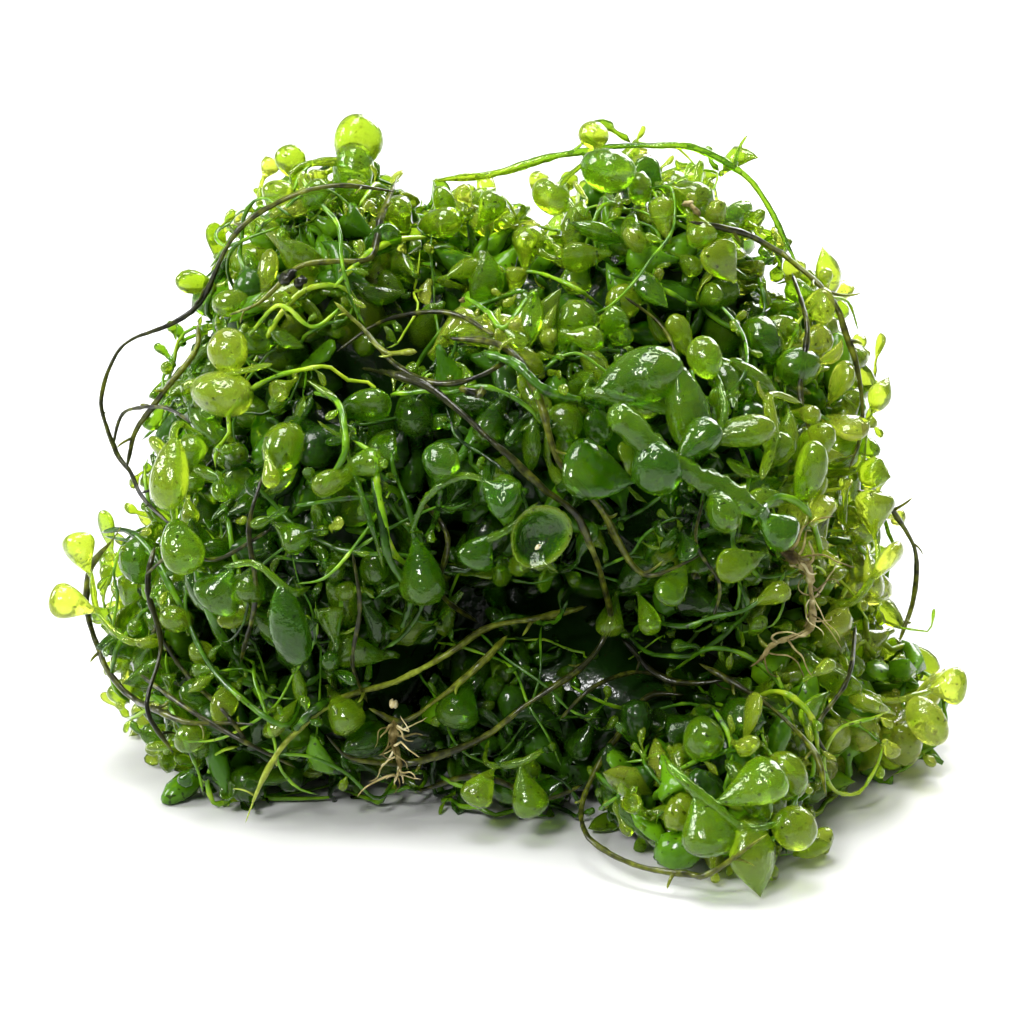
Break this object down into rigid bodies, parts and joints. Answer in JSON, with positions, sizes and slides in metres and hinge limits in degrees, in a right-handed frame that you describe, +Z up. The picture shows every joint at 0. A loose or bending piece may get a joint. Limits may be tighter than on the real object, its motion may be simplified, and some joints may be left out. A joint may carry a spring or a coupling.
{
  "type": "grape caulerpa",
  "caption": "Drained handful of grape caulerpa: tufts of green seaweed bladders heaped on a flat surface, with creeping runners and rootlets over them.",
  "frame": {"origin": "on the surface that the heap stands on, under the middle of its underside", "axes": "+Z up; -Y to the front, where the foot of the heap spills out; +X to the right"},
  "size_m": [0.112, 0.1031, 0.079],
  "materials": {
    "tuft_flesh": "wet, glossy, slightly see-through deep green plant flesh",
    "frond_flesh": "wet, glossy, slightly see-through bright green plant flesh",
    "runner_stem": "damp, satin olive to brown-black stem",
    "root": "damp, dull tan rootlet"
  },
  "bodies": {
    "root": {"frond_arm": "frond_flesh", "frond_back_left": "frond_flesh", "frond_back_right": "frond_flesh", "frond_crown_right": "frond_flesh", "frond_cup": "frond_flesh", "frond_foot": "frond_flesh", "frond_front_low": "frond_flesh", "frond_left_block": "frond_flesh", "frond_left_bright": "frond_flesh", "frond_left_tip": "frond_flesh", "frond_low_left": "frond_flesh", "frond_oval": "frond_flesh", "frond_peak": "frond_flesh", "frond_right_horned": "frond_flesh", "frond_right_lime": "frond_flesh", "frond_teardrop": "frond_flesh", "frond_toe": "frond_flesh", "frond_twin": "frond_flesh", "root_long": "root", "root_short": "root", "runner_back_left": "runner_stem", "runner_back_right": "runner_stem", "runner_crown_arch": "runner_stem", "runner_crown_swirl": "runner_stem", "runner_diagonal": "runner_stem", "runner_foot_loop": "runner_stem", "runner_foot_right": "runner_stem", "runner_free_end": "runner_stem", "runner_green_hook": "runner_stem", "runner_green_stem": "runner_stem", "runner_left_loop": "runner_stem", "runner_left_low": "runner_stem", "runner_left_outer": "runner_stem", "runner_left_strand": "runner_stem", "runner_long": "runner_stem", "runner_lower": "runner_stem", "runner_olive": "runner_stem", "runner_right": "runner_stem", "runner_right_dark": "runner_stem", "runner_right_hook": "runner_stem", "tuft_back_left": "tuft_flesh", "tuft_back_middle": "tuft_flesh", "tuft_back_right": "tuft_flesh", "tuft_base": "tuft_flesh", "tuft_crown_left": "tuft_flesh", "tuft_crown_middle": "tuft_flesh", "tuft_crown_right": "tuft_flesh", "tuft_flank_left": "tuft_flesh", "tuft_flank_right": "tuft_flesh", "tuft_foot": "tuft_flesh", "tuft_front_left": "tuft_flesh", "tuft_front_middle": "tuft_flesh", "tuft_front_right": "tuft_flesh", "tuft_shoulder_left": "tuft_flesh", "tuft_shoulder_right": "tuft_flesh", "tuft_skirt_left": "tuft_flesh", "tuft_skirt_middle": "tuft_flesh", "tuft_skirt_right": "tuft_flesh", "tuft_toe": "tuft_flesh"}
  },
  "joints": []
}
